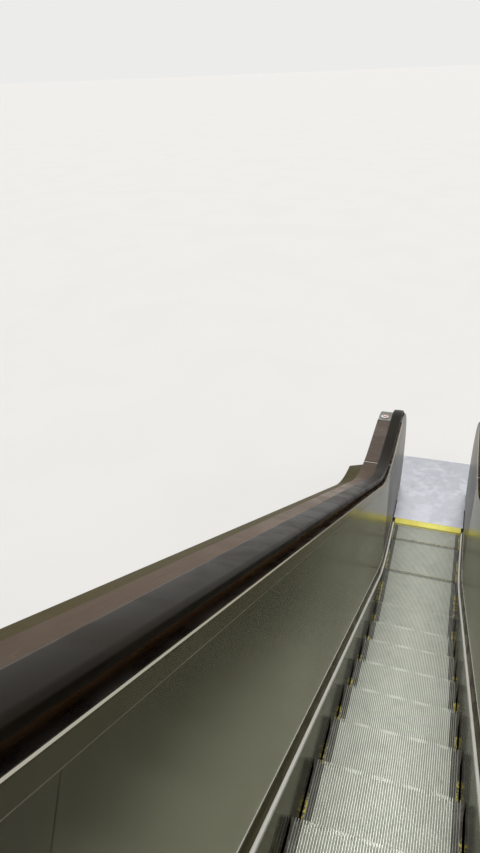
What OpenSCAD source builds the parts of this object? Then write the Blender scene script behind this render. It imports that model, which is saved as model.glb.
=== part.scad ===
// Narrow indoor escalator with solid stainless balustrades, from the lower
// floor to the upper floor. Uphill is +Y, the steps are centred on x = 0 and
// the teeth of the lower comb end at y = 0. The ground is z = 0.

/* [Incline] */
// Angle of the incline in degrees
slope = 30; // [27:1:35]
// Number of step rises from floor to floor
rise_count = 17; // [12:1:24]
// Distance from a comb to where the nosing line meets the floor
comb_run = 1023; // [950:1:1200]
// Height of the lower floor plates above the ground
floor_h = 50; // [46:1:70]
// Thickness of the base pan
pan_t = 20; // [12:1:24]

/* [Steps] */
// Pitch of the steps along the incline
step_pitch = 405; // [400:1:410]
// Width of a step
step_w = 552; // [520:1:560]
// Gap between one tread and the next riser
step_gap = 5; // [4:0.5:6]
// Number of cleats across a tread
cleat_count = 31; // [21:2:41]
// Thickness of a cleat
cleat_t = 7; // [5:0.5:9]
// Height of a cleat above its plate
cleat_h = 9; // [7:0.5:11]
// Thickness of the plate under the cleats
step_plate = 8; // [6:0.5:10]
// Distance of the first nosing from the lower bend
nosing_phase = 140; // [100:1:300]
// Radius of the bends of the step path
step_bend_r = 1000; // [900:10:1200]
// Depth of a tread's surface below the floor plates at the combs
tread_drop = 8; // [7:0.5:10]
// Diameter of a step roller
roller_d = 76; // [60:1:90]
// Width of a step roller
roller_w = 22; // [16:1:24]

/* [Balustrade] */
// Distance from the steps' sides to the inner panels
panel_gap = 24; // [22:1:30]
// Thickness of the inner panels
panel_t = 2.5; // [1.5:0.5:4]
// Clearance between step and skirt
skirt_gap = 4; // [3:0.5:5]
// Thickness of the skirt
skirt_t = 5; // [3:0.5:6]
// Height of the skirt's top above the nosing line
skirt_h = 205; // [180:1:230]
// Width of the bright trim on the skirt
trim_w = 12; // [8:0.5:13]
// Height of the bright trim on the skirt
trim_h = 14; // [10:1:20]
// Height of the bevelled inner deck
deck_rise = 42; // [30:1:60]
// Height of the outer deck
deck_h = 955; // [940:1:960]
// Height of the bright top trim of the inner panels
top_trim_h = 44; // [30:1:60]
// Width of the outer deck
deck_w = 200; // [190:1:230]
// Step down from the deck to the outer ledge
ledge_step = 14; // [8:1:20]
// Fall of the outer ledge to its outer edge
ledge_drop = 30; // [20:1:50]
// Height of the ledge's outer lip
ledge_lip = 40; // [30:1:60]
// Thickness of the sheet metal
sheet = 3; // [2:0.5:4]
// Radius of the handrail's bends at its top
rail_bend_r = 1500; // [1400:10:1900]
// Radius of the skirt's lower bend
skirt_bend_low = 1300; // [1000:10:1400]
// Radius of the skirt's upper bend
skirt_bend_high = 800; // [600:10:1000]
// Gap between two panels of a row
joint_gap = 1.5; // [1:0.5:3]
// Spacing of the inner panel joints along the incline
panel_pitch = 1800; // [1400:10:2400]

/* [Handrail] */
// Height of the handrail's top above the outer deck
rail_lift = 45; // [42:1:60]
// Width of the handrail
rail_w = 80; // [76:1:84]
// Thickness of the handrail
rail_t = 28; // [26:1:32]
// Thickness of the handrail's rubber
rubber_t = 8; // [6:0.5:9]
// Distance from the inner panels to the middle of the handrail
rail_setback = 52; // [50:1:62]
// Distance of the handrail's curve inside the newel's
rail_inset = 100; // [90:1:110]

/* [Newels] */
// Distance from the comb to where the newel's curve starts
newel_run = 120; // [80:5:200]
// Radius of the newel's nose
newel_r = 600; // [590:5:620]
// Diameter of the stop button's collar
collar_d = 64; // [50:1:80]
// Diameter of the stop button
button_d = 36; // [24:1:44]

/* [Floor plates] */
// Length of the landing from the comb to its far edge
landing_run = 1147; // [1050:1:1300]
// Length of the comb plate from the comb
comb_plate_run = 360; // [330:1:450]
// Depth of the yellow comb segments
comb_depth = 90; // [70:1:110]
// Length of the comb's teeth
tooth_l = 28; // [20:1:35]

/* [Truss] */
// Width of the ledge beside the outer deck
ledge_w = 100; // [80:1:150]
// Vertical depth of the truss below the nosing line
truss_depth = 1000; // [900:10:1100]
// Distance from the comb to where the side cladding starts
truss_start = 600; // [560:5:640]
// Spacing of the cross frames
frame_pitch = 1150; // [1000:10:1300]
// Thickness of a cross frame
frame_t = 10; // [8:1:14]
// Spacing of the joints in the side cladding
clad_pitch = 1500; // [1200:10:2000]
// Distance of the first cross frame from the lower end of the incline
frame_first = 480; // [400:10:600]
// Clear distance from the last cross frame to the upper end of the incline
frame_last = 700; // [600:10:900]
// Thickness of the upper bearing angle
bearing_t = 15; // [10:1:20]
// Width of the upper bearing angle
bearing_w = 1000; // [800:10:1100]
// Height of the upper bearing angle
bearing_h = 130; // [100:1:150]
// Reach of the upper bearing angle over its support
bearing_reach = 150; // [120:1:180]

/* [Hidden] */
$fn = 64;

// Fits: seat is the gap where one piece rests on another
seat = 0.3;
lap = 1.5;
eps = 0.01;
arc_steps = 12;
bend_fn = 360;

// Overall sizes
rise = rise_count * step_pitch * sin(slope);
high_z = floor_h + rise;
high_wp = comb_run + rise / tan(slope);
high_comb = high_wp + comb_run;
y_low_end = -landing_run;
y_high_end = high_comb + landing_run;
plate_t = floor_h - pan_t;
half_bend = tan(slope / 2);

// Balustrade, with heights measured square to the nosing line
skirt_x = step_w / 2 + skirt_gap;
panel_x = step_w / 2 + panel_gap;
deck_x = panel_x + deck_w;
truss_x = deck_x + ledge_w;
rail_x = panel_x + rail_setback;
rail_h = deck_h + rail_lift;
rail_newel_r = newel_r - rail_inset;
low_r = rail_bend_r + rail_h;
high_r = rail_bend_r - rail_h;
ledge_top = deck_h - ledge_step;
newel_x = deck_x - sheet;
clad_x = truss_x - 2 * sheet;
clad_end = high_comb - truss_start;
skirt_shift = skirt_h / sin(slope);

// Step path
tread_l = step_pitch - step_gap;
tread_z = floor_h - tread_drop;
high_tread_z = high_z - tread_drop;
low_corner = comb_run - tread_drop / tan(slope);
high_corner = high_wp - tread_drop / tan(slope);
step_tangent = step_bend_r * half_bend;
bend_len = step_bend_r * slope * PI / 180;
incline_len = (high_corner - low_corner) / cos(slope) - 2 * step_tangent;
riser_depth = step_pitch * sin(slope) + 18;
cleat_pitch = (step_w - cleat_t) / (cleat_count - 1);
first_step = -4;
low_last = 0;
middle_step = 6;
high_first = 14;
path_end = incline_len + bend_len + high_comb - high_corner - step_tangent;
last_step = floor((path_end - nosing_phase) / step_pitch);

// Rollers and tracks, measured from a step's nosing
roller_y = 200;
roller_drop = 190;
cheek_t = 10;
cheek_x = step_w / 2 - 30;
track_t = 12;
track_drop = roller_drop + roller_d / 2 + seat;

// Truss
soffit_level = truss_depth - 50;
soffit_foot = comb_run + (truss_depth - floor_h) / tan(slope);
soffit_corner = high_wp + (truss_depth - soffit_level) / tan(slope);

// Newels
newel_z = floor_h + deck_h - newel_r;
foot_h = newel_z - floor_h;
nose_end = 90 + asin(foot_h / newel_r);
slot_from = 15;
slot_to = 48;
slot_x = rail_w / 2 + 5;
rail_end_angle = 80;

// Place of the step path at a distance along it from the lower bend
function step_at(s) =
  s > incline_len + bend_len ?
    [high_corner + step_tangent + s - incline_len - bend_len, high_tread_z] :
  s > incline_len ?
    let (a = slope - (s - incline_len) / step_bend_r * 180 / PI)
    [high_corner + step_tangent - step_bend_r * sin(a), high_tread_z - step_bend_r * (1 - cos(a))] :
  s > 0 ?
    [low_corner + (step_tangent + s) * cos(slope), tread_z + (step_tangent + s) * sin(slope)] :
  s > -bend_len ?
    let (a = slope + s / step_bend_r * 180 / PI)
    [low_corner - step_tangent + step_bend_r * sin(a), tread_z + step_bend_r * (1 - cos(a))] :
    [low_corner - step_tangent + s + bend_len, tread_z];
function nosing(n) = step_at(nosing_phase + n * step_pitch);

// Height of a line on the incline, d being its distance square to the nosing line
function line_z(y, d) = floor_h + (y - comb_run) * tan(slope) + d / cos(slope);

// Points of a line that runs level, up the incline and level again
function low_arc(corner, z, r) =
  [for (i = [0 : arc_steps]) let (a = slope * i / arc_steps)
    [corner - r * half_bend + r * sin(a), z + r * (1 - cos(a))]];
function high_arc(corner, z, r) =
  [for (i = [0 : arc_steps]) let (a = slope * (1 - i / arc_steps))
    [corner + r * half_bend - r * sin(a), z - r * (1 - cos(a))]];
function bent_line(y0, y1, d, shift, r0, r1) = concat(
  [[y0, floor_h + d]],
  low_arc(comb_run - shift - d * half_bend, floor_h + d, r0 - d),
  high_arc(high_wp - shift - d * half_bend, high_z + d, r1 + d),
  [[y1, high_z + d]]);
function deck_line(y0, y1, d) = bent_line(y0, y1, d, 0, low_r, high_r);
function skirt_line(y0, y1, d) = bent_line(y0, y1, d, skirt_shift, skirt_bend_low, skirt_bend_high);

function reversed(list) = [for (i = [len(list) - 1 : -1 : 0]) list[i]];

// Extrusions of a profile in x and height
module level(y0, y1, z) {
  translate([0, y1, z]) rotate([90, 0, 0]) linear_extrude(y1 - y0) children();
}
module incline(y, z, length) {
  translate([0, y, z]) rotate([slope, 0, 0]) translate([0, length, 0])
    rotate([90, 0, 0]) linear_extrude(length) children();
}
module low_bend(y, z, r) {
  translate([0, y, z + r]) rotate([90, 0, 90]) rotate([0, 0, -90])
    rotate_extrude(angle = slope, $fn = bend_fn) translate([r, 0]) rotate(90) children();
}
module high_bend(y, z, r) {
  translate([0, y, z - r]) rotate([90, 0, 90]) rotate([0, 0, 90])
    rotate_extrude(angle = slope, $fn = bend_fn) translate([r, 0]) mirror([1, -1]) children();
}
// A profile carried level, up the incline and level again
module follow(y0, y1, shift, r0, r1) {
  t0 = r0 * half_bend;
  t1 = r1 * half_bend;
  c0 = comb_run - shift;
  c1 = high_wp - shift;
  start = max(y0, c0 - t0);
  if (c0 - t0 > y0) level(y0, c0 - t0, floor_h) children();
  intersection() {
    low_bend(c0 - t0, floor_h, r0) children();
    if (start > c0 - t0) translate([0, start, floor_h]) cube([2 * truss_x, 2 * r0, 2 * rail_h]);
  }
  incline(c0 + t0 * cos(slope), floor_h + t0 * sin(slope), (c1 - c0) / cos(slope) - t0 - t1) children();
  high_bend(c1 + t1, high_z, r1) children();
  if (y1 > c1 + t1) level(c1 + t1, y1, high_z) children();
}
module follow_deck(y0, y1) follow(y0, y1, 0, low_r, high_r) children();
module follow_skirt(y0, y1) follow(y0, y1, skirt_shift, skirt_bend_low, skirt_bend_high) children();

// A plate that stands along the incline, from its side outline
module side_plate(x, t) translate([x, 0, 0]) rotate([90, 0, 90]) linear_extrude(t) children();
module on_side(side) mirror([side < 0 ? 1 : 0, 0, 0]) children();
module both_sides() for (side = [-1, 1]) on_side(side) children();
// A piece of the lower end, turned round for the upper end
module at_end(end) {
  if (end == 0) children();
  else translate([0, high_comb, rise]) mirror([0, 1, 0]) children();
}
// A profile turned round the nose of a newel, between angles from its top
module round_nose(z, r, from, to) {
  translate([0, -newel_run, z]) rotate([90, 0, 90]) rotate([0, 0, 90 + from])
    rotate_extrude(angle = to - from) translate([r, 0]) mirror([1, -1]) children();
}

// Floor plates
module base_pan() color([0.45, 0.46, 0.47]) {
  translate([-truss_x, y_low_end, 0]) cube([2 * truss_x, soffit_foot - y_low_end, pan_t]);
  both_sides() translate([panel_x, -comb_plate_run, pan_t - eps])
    cube([truss_x - panel_x, comb_plate_run + truss_start, plate_t - seat + eps]);
}
module upper_floor_frame() color([0.45, 0.46, 0.47]) {
  both_sides() translate([panel_x, clad_end, high_z - plate_t])
    cube([truss_x - panel_x, comb_plate_run + truss_start, plate_t - seat]);
}
module landing_plate() {
  translate([-truss_x, y_low_end, pan_t])
    cube([2 * truss_x, landing_run - comb_plate_run - seat, plate_t]);
}
module lower_landing_plate() color([0.74, 0.74, 0.78]) landing_plate();
module upper_landing_plate() color([0.74, 0.74, 0.78]) at_end(1) landing_plate();

// Comb plate with a thin lip over the steps
module comb_plate() {
  lip = tread_drop - 1;
  thick = comb_plate_run - 250;
  half = skirt_x - 1;
  translate([-half, -comb_plate_run, floor_h - lip])
    cube([2 * half, comb_plate_run - comb_depth - seat, lip]);
  translate([-half, -comb_plate_run, pan_t]) cube([2 * half, thick, plate_t - lip + eps]);
}
module lower_comb_plate() color([0.70, 0.70, 0.74]) comb_plate();
module upper_comb_plate() color([0.70, 0.70, 0.74]) at_end(1) comb_plate();

// Yellow comb segments, with teeth that dip between the cleats
module combs() {
  lip = tread_drop - 1;
  tooth_w = cleat_pitch - cleat_t - 3;
  segments = 3;
  half = skirt_x - 1;
  seg_w = 2 * half / segments;
  for (k = [0 : segments - 1]) translate([-half + k * seg_w, -comb_depth, floor_h - lip])
    cube([seg_w - seat, comb_depth - tooth_l, lip]);
  for (i = [0 : cleat_count - 2])
    side_plate(-step_w / 2 + cleat_t / 2 + (i + 0.5) * cleat_pitch - tooth_w / 2, tooth_w)
      polygon([[0, tread_z - 4], [-tooth_l - 12, tread_z - 4], [-tooth_l - 12, floor_h - 1],
        [-tooth_l, floor_h]]);
}
module lower_combs() color([0.93, 0.80, 0.12]) combs();
module upper_combs() color([0.93, 0.80, 0.12]) at_end(1) combs();

// Side outline of a step, a given depth inside its tread and riser
module step_outline(depth) {
  intersection() {
    translate([tread_l, 0]) circle(r = tread_l - depth, $fn = 96);
    translate([0, -riser_depth]) square([tread_l - 1, riser_depth - depth]);
  }
}
module step_skin(d0, d1) {
  difference() {
    step_outline(d0);
    step_outline(d1);
  }
}
module step_cheek() {
  foot = roller_drop + 20;
  side_plate(cheek_x - cheek_t, cheek_t)
    polygon([[30, -cleat_h - 4], [tread_l - 10, -cleat_h - 4], [tread_l - 10, -60],
      [roller_y + 30, -foot], [roller_y - 30, -foot], [70, -150]]);
  translate([cheek_x - eps, roller_y, -roller_drop]) rotate([0, 90, 0])
    cylinder(h = roller_w, d = roller_d);
}
module step_body() {
  side_plate(-step_w / 2, step_w) step_skin(cleat_h, cleat_h + step_plate);
  for (i = [0 : cleat_count - 1])
    side_plate(-step_w / 2 + i * cleat_pitch, cleat_t) step_skin(0, cleat_h + 3);
  both_sides() step_cheek();
}
// A step; the low ones stand on the base pan
module step(n) {
  p = nosing(n);
  difference() {
    translate([0, p[0], p[1]]) step_body();
    if (n <= low_last) translate([-step_w, p[0] - step_pitch, pan_t + seat - step_pitch])
      cube([2 * step_w, 3 * step_pitch, step_pitch]);
  }
}
module steps(first, last) color([0.72, 0.74, 0.68]) for (n = [first : last]) step(n);
module lower_steps() steps(first_step, low_last);
module incline_steps_low() steps(low_last + 1, middle_step);
module incline_steps_high() steps(middle_step + 1, high_first - 1);
module upper_steps() steps(high_first, last_step);

// Tracks that carry the step rollers, from the base pan to the upper comb
function track_line(d) =
  let (start = (pan_t + seat + track_t / cos(slope) + track_drop - tread_z + 6) / sin(slope))
  concat(
    [[low_corner + start * cos(slope) - d * sin(slope), tread_z + start * sin(slope) + d * cos(slope)]],
    high_arc(high_corner - d * half_bend, high_tread_z + d, step_bend_r + d),
    [[high_comb + 40, high_tread_z + d]]);
module step_tracks() color([0.35, 0.36, 0.37])
  both_sides() side_plate(cheek_x, roller_w + 2) translate([roller_y, -track_drop])
    polygon(concat(track_line(0), reversed(track_line(-track_t))));

// Cross frames: posts up to the deck and the ledge, with a beam under the tracks
module post_outline(bottom, inner, outer) {
  inner_x = panel_x + panel_t + seat;
  wall_x = newel_x - seat;
  outer_x = clad_x - seat;
  edge = outer + ledge_drop * (outer_x - wall_x) / (truss_x - deck_x);
  polygon([[inner_x, bottom], [outer_x, bottom], [outer_x, outer], [wall_x, edge],
    [wall_x, inner], [inner_x, inner]]);
}
module beam_outline(bottom, top, half) {
  if (top > bottom) translate([-half, bottom]) square([2 * half, top - bottom]);
}
module frame_outline(bottom, middle, inner, outer) {
  for (side = [0, 1]) mirror([side, 0]) post_outline(bottom, inner, outer);
  beam_outline(bottom, middle, panel_x + panel_t + seat + eps);
}
module frame_at(y) translate([0, y + frame_t / 2, 0]) rotate([90, 0, 0]) linear_extrude(frame_t) children();
module truss_frames() color([0.30, 0.31, 0.32]) {
  fall = frame_t * tan(slope) / 2 + seat;
  ledge_low = ledge_top - ledge_drop - sheet;
  track_low = tread_drop + track_drop;
  for (y = [comb_run + frame_first : frame_pitch : high_wp - frame_last]) frame_at(y)
    frame_outline(max(pan_t + seat, line_z(y, 0) - truss_depth + sheet / cos(slope) + fall),
      line_z(y - roller_y, -track_t) - track_low - fall,
      line_z(y, deck_h - sheet) - fall, line_z(y, ledge_low) - fall);
  low_z = high_z - soffit_level + sheet + seat;
  beam_z = high_z - track_low - track_t - seat;
  floor_z = high_z - plate_t - seat;
  frame_at(high_wp + 280) frame_outline(low_z, beam_z, high_z + deck_h - sheet - seat,
    high_z + ledge_low - seat);
  frame_at(high_comb - 80) {
    beam_outline(low_z, beam_z, clad_x - seat);
    for (side = [0, 1]) mirror([side, 0]) translate([panel_x + panel_t, low_z])
      square([clad_x - seat - panel_x - panel_t, floor_z - low_z]);
  }
  for (y = [high_comb + 300, high_comb + 700]) frame_at(y) beam_outline(low_z, floor_z, clad_x - seat);
}

// Skirt beside the steps, with the bright trim and the bevelled deck on it
module skirt() {
  low = pan_t + seat;
  depth = 245;
  foot = high_wp - (high_z - depth - low) / tan(slope);
  side_plate(skirt_x, skirt_t)
    polygon(concat(skirt_line(-comb_depth, high_comb + comb_depth, -2 * seat),
      [[high_comb + comb_depth, high_z - depth], [high_wp, high_z - depth], [foot, low],
       [-comb_depth, low]]));
}
module skirt_left() color([0.24, 0.26, 0.22]) on_side(-1) skirt();
module skirt_right() color([0.24, 0.26, 0.22]) on_side(1) skirt();
module skirt_trim() {
  follow_skirt(0, high_comb) translate([skirt_x - 1, 0])
    polygon([[0, 0], [trim_w, 0], [trim_w, trim_h - 2], [trim_w - 2, trim_h], [2, trim_h],
      [0, trim_h - 2]]);
}
module skirt_trim_left() color([0.82, 0.81, 0.76]) on_side(-1) skirt_trim();
module skirt_trim_right() color([0.82, 0.81, 0.76]) on_side(1) skirt_trim();
module inner_deck() {
  x0 = skirt_x - 1 + trim_w;
  follow_skirt(0, high_comb)
    polygon([[x0, 1], [panel_x, 1], [panel_x, trim_h + deck_rise],
      [panel_x - 1.5, trim_h + deck_rise], [x0, trim_h - 2]]);
}
module inner_deck_left() color([0.26, 0.25, 0.20]) on_side(-1) inner_deck();
module inner_deck_right() color([0.26, 0.25, 0.20]) on_side(1) inner_deck();

// Inner panels between the newels, cut by joints square to the incline
module inner_panels() {
  top = deck_h - sheet - lap;
  cuts = floor((high_wp - comb_run) / cos(slope) / panel_pitch);
  side_plate(panel_x, panel_t) difference() {
    intersection() {
      polygon(concat(skirt_line(0, high_comb, trim_h / 2),
        reversed(deck_line(0, high_comb, top))));
      translate([truss_start, 0]) square([clad_end - truss_start, 2 * high_z]);
    }
    for (k = [0 : cuts]) translate([comb_run + 640 + k * panel_pitch * cos(slope),
        line_z(comb_run + 640 + k * panel_pitch * cos(slope), 0)])
      rotate(slope) square([joint_gap, 2 * rail_h]);
  }
}
module inner_panels_left() color([0.42, 0.43, 0.37]) on_side(-1) inner_panels();
module inner_panels_right() color([0.42, 0.43, 0.37]) on_side(1) inner_panels();

// Trim along the top of the inner panels
module top_trim() {
  follow_deck(-newel_run, high_comb + newel_run)
    polygon([[panel_x, deck_h - top_trim_h], [panel_x, deck_h], [panel_x - 2, deck_h],
      [panel_x - 4, deck_h - 3], [panel_x - 4, deck_h - 7], [panel_x - 2, deck_h - 9],
      [panel_x - 1.5, deck_h - top_trim_h]]);
}
module top_trim_left() color([0.80, 0.79, 0.72]) on_side(-1) top_trim();
module top_trim_right() color([0.80, 0.79, 0.72]) on_side(1) top_trim();

// Outer deck under the handrail, with a folded outer edge
module outer_deck() {
  follow_deck(-newel_run, high_comb + newel_run)
    polygon([[panel_x, deck_h - sheet], [panel_x, deck_h], [deck_x - 1, deck_h],
      [deck_x, deck_h - 1], [deck_x, deck_h - 22], [newel_x, deck_h - 22],
      [newel_x, deck_h - sheet]]);
}
module outer_deck_left() color([0.27, 0.24, 0.21]) on_side(-1) outer_deck();
module outer_deck_right() color([0.27, 0.24, 0.21]) on_side(1) outer_deck();

// Ledge over the side of the truss, from newel to newel
module outer_ledge() {
  x0 = deck_x + seat;
  low = ledge_top - ledge_drop;
  follow_deck(truss_start, clad_end)
    polygon([[x0, ledge_top], [truss_x, low], [truss_x, low - ledge_lip],
      [truss_x - sheet, low - ledge_lip], [truss_x - sheet, low - sheet], [x0, ledge_top - sheet]]);
}
module outer_ledge_left() color([0.47, 0.39, 0.36]) on_side(-1) outer_ledge();
module outer_ledge_right() color([0.47, 0.39, 0.36]) on_side(1) outer_ledge();

// Handrail and the guide that it slides on
module handrail_profile() {
  r = 11;
  q = 7;
  half = rail_w / 2;
  slot = half - rubber_t - 2;
  mouth = slot - 9;
  difference() {
    polygon(concat(
      [for (a = [0 : 15 : 90]) [half - r + r * sin(a), -r + r * cos(a)]],
      [for (a = [90 : 22.5 : 180]) [half - q + q * sin(a), -rail_t + q + q * cos(a)]],
      [for (a = [180 : 22.5 : 270]) [-half + q + q * sin(a), -rail_t + q + q * cos(a)]],
      [for (a = [270 : 15 : 360]) [-half + r + r * sin(a), -r + r * cos(a)]]));
    translate([-slot, -rail_t + rubber_t]) square([2 * slot, rail_t - 2 * rubber_t]);
    translate([-mouth, -rail_t - 1]) square([2 * mouth, rubber_t + 2]);
  }
}
module handrail() {
  follow_deck(-newel_run, high_comb + newel_run) translate([rail_x, rail_h]) handrail_profile();
  for (end = [0, 1]) at_end(end)
    round_nose(floor_h + rail_h - rail_newel_r, rail_newel_r, 0, rail_end_angle)
      translate([rail_x, 0]) handrail_profile();
}
module handrail_left() color([0.03, 0.03, 0.03]) on_side(-1) handrail();
module handrail_right() color([0.03, 0.03, 0.03]) on_side(1) handrail();
module handrail_guide() {
  half = rail_w / 2 - rubber_t - 4;
  stem = half - 12;
  top = rail_h - rubber_t - seat;
  neck = rail_h - rail_t + rubber_t + seat;
  follow_deck(-newel_run, high_comb + newel_run) translate([rail_x, 0])
    polygon([[-stem, deck_h], [stem, deck_h], [stem, neck], [half, neck], [half, top],
      [-half, top], [-half, neck], [-stem, neck]]);
}
module handrail_guide_left() color([0.55, 0.55, 0.56]) on_side(-1) handrail_guide();
module handrail_guide_right() color([0.55, 0.55, 0.56]) on_side(1) handrail_guide();

// Plate of a newel: its round nose and the part behind it
module newel_plate(end, x, t) {
  top = deck_h - sheet - lap;
  back = truss_start - joint_gap;
  side_plate(x, t) intersection() {
    translate([-newel_run, newel_z]) circle(r = newel_r - lap, $fn = 128);
    translate([-newel_run - newel_r, floor_h]) square([newel_r, foot_h + newel_r]);
  }
  side_plate(x, t) intersection() {
    if (end == 0) polygon(concat(deck_line(-newel_run - newel_r, high_comb, top),
      [[high_comb, floor_h], [-newel_run - newel_r, floor_h]]));
    translate([-newel_run - lap, floor_h])
      square([newel_run + lap + back, end == 0 ? 2 * rail_h : top]);
  }
}
// Newel: inner and outer plates closed by a rim with a slot for the handrail
module newel(end) {
  at_end(end) {
    newel_plate(end, panel_x, panel_t);
    newel_plate(end, newel_x - sheet, sheet);
    difference() {
      round_nose(newel_z, newel_r, 0, nose_end)
        translate([panel_x, -sheet]) square([newel_x - panel_x, sheet]);
      round_nose(newel_z, newel_r, slot_from, slot_to)
        translate([rail_x - slot_x, -2 * sheet]) square([2 * slot_x, 4 * sheet]);
    }
  }
}
module lower_newel_left() color([0.50, 0.50, 0.46]) on_side(-1) newel(0);
module lower_newel_right() color([0.50, 0.50, 0.46]) on_side(1) newel(0);
module upper_newel_left() color([0.50, 0.50, 0.46]) on_side(-1) newel(1);
module upper_newel_right() color([0.50, 0.50, 0.46]) on_side(1) newel(1);

// Black collars where the handrails enter the newels
module inlet() {
  wall = 6;
  difference() {
    round_nose(newel_z, newel_r + seat, slot_from - 1, slot_to + 2)
      translate([rail_x - slot_x - wall + 4, 0]) square([2 * (slot_x + wall - 4), 5]);
    round_nose(newel_z, newel_r, slot_from + 1, slot_to)
      translate([rail_x - slot_x + 1, -5]) square([2 * slot_x - 2, 20]);
  }
}
module handrail_inlets() color([0.06, 0.06, 0.06])
  for (end = [0, 1]) at_end(end) both_sides() inlet();

// Stop buttons on the deck's end, at the right hand of someone who faces the unit
module at_button() {
  angle = 6;
  x = (rail_x + slot_x + newel_x) / 2 + 3;
  for (end = [0, 1]) at_end(end) on_side(end == 0 ? 1 : -1)
    translate([x, -newel_run, newel_z]) rotate([angle, 0, 0]) translate([0, 0, newel_r + seat])
      children();
}
module stop_collars() color([0.93, 0.92, 0.90]) at_button() difference() {
  union() {
    cylinder(h = 4, d = collar_d);
    translate([0, 0, 4 - eps]) cylinder(h = 4, d1 = collar_d, d2 = collar_d - 10);
  }
  translate([0, 0, 3]) cylinder(h = 6, d = button_d + 2);
}
module stop_buttons() color([0.75, 0.08, 0.06]) at_button() translate([0, 0, 3 + seat]) {
  cylinder(h = 6, d = button_d);
  translate([0, 0, 6 - eps]) cylinder(h = 2, d1 = button_d, d2 = button_d - 4);
}

// Side cladding of the truss, in panels, with a return at its lower and upper end
module cladding() {
  top = ledge_top - ledge_drop - 15;
  low = pan_t + seat;
  skin = sheet / cos(slope) + seat;
  foot = soffit_foot + (low - skin) / tan(slope);
  high_low = high_z - soffit_level + sheet + seat;
  corner = soffit_corner + (high_low - (high_z - soffit_level) - skin) / tan(slope);
  y0 = truss_start + seat;
  side_plate(clad_x, sheet) difference() {
    intersection() {
      polygon(concat(deck_line(y0, clad_end, top), [[clad_end, high_z - plate_t - seat],
        [y_high_end, high_z - plate_t - seat], [y_high_end, high_low], [corner, high_low],
        [foot, low], [y0, low]]));
      translate([y0, 0]) square([y_high_end, 2 * high_z]);
    }
    for (y = concat([for (k = [truss_start + clad_pitch : clad_pitch : y_high_end - 300]) k], [clad_end]))
      translate([y, 0]) square([joint_gap, 2 * high_z]);
  }
  side_return(y0, low);
  side_return(clad_end - sheet - seat, high_z);
}
// Closing plate between the newel's width and the truss's width
module side_return(y, z) {
  floor_level = z > floor_h ? high_z : floor_h;
  translate([deck_x + seat, y, z]) cube([clad_x - deck_x - seat + eps, sheet,
    floor_level + ledge_top - ledge_drop - sheet - 6 - z]);
}
module cladding_left() color([0.55, 0.55, 0.54]) on_side(-1) cladding();
module cladding_right() color([0.55, 0.55, 0.54]) on_side(1) cladding();

// Soffit under the incline and the upper landing
module soffit() color([0.52, 0.52, 0.51]) {
  z = high_z - soffit_level;
  skin = sheet / cos(slope);
  side_plate(-truss_x + sheet, 2 * (truss_x - sheet))
    polygon([[soffit_foot + seat, 0], [soffit_corner, z], [y_high_end, z], [y_high_end, z + sheet],
      [soffit_corner + (sheet - skin) / tan(slope), z + sheet], [soffit_foot + seat, skin]]);
}
module upper_end_plate() color([0.45, 0.46, 0.47]) {
  low = high_z - soffit_level + sheet + seat;
  translate([-clad_x + seat, y_high_end - sheet, low])
    cube([2 * (clad_x - seat), sheet, high_z - plate_t - seat - low]);
}
// Bearing angle that rests on the upper floor's edge
module upper_bearing() color([0.34, 0.35, 0.37]) {
  top = high_z - 60;
  translate([-bearing_w / 2, y_high_end, top - bearing_h]) cube([bearing_w, bearing_t, bearing_h]);
  translate([-bearing_w / 2, y_high_end, top - bearing_t])
    cube([bearing_w, bearing_reach, bearing_t]);
}

base_pan();
lower_landing_plate();
lower_comb_plate();
lower_combs();
upper_floor_frame();
upper_landing_plate();
upper_comb_plate();
upper_combs();
lower_steps();
incline_steps_low();
incline_steps_high();
upper_steps();
step_tracks();
truss_frames();
skirt_left();
skirt_right();
skirt_trim_left();
skirt_trim_right();
inner_deck_left();
inner_deck_right();
inner_panels_left();
inner_panels_right();
top_trim_left();
top_trim_right();
outer_deck_left();
outer_deck_right();
outer_ledge_left();
outer_ledge_right();
handrail_guide_left();
handrail_guide_right();
handrail_left();
handrail_right();
lower_newel_left();
lower_newel_right();
upper_newel_left();
upper_newel_right();
handrail_inlets();
stop_collars();
stop_buttons();
cladding_left();
cladding_right();
soffit();
upper_end_plate();
upper_bearing();
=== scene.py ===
import math

import bmesh
import bpy
from mathutils import Matrix, Vector


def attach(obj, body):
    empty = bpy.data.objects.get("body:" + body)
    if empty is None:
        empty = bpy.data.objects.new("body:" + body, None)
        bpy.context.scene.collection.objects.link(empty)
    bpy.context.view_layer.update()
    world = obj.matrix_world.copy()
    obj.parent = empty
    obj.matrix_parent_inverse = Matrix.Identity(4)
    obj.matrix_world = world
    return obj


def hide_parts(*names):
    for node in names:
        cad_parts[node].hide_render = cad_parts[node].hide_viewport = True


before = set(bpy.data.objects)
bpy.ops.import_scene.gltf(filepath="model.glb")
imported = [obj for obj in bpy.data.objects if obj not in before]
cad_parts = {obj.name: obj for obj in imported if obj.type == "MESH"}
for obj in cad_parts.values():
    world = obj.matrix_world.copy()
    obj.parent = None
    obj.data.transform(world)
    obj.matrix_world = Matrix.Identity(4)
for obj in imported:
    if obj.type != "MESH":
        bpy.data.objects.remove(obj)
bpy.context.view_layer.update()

scene = bpy.context.scene

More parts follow.
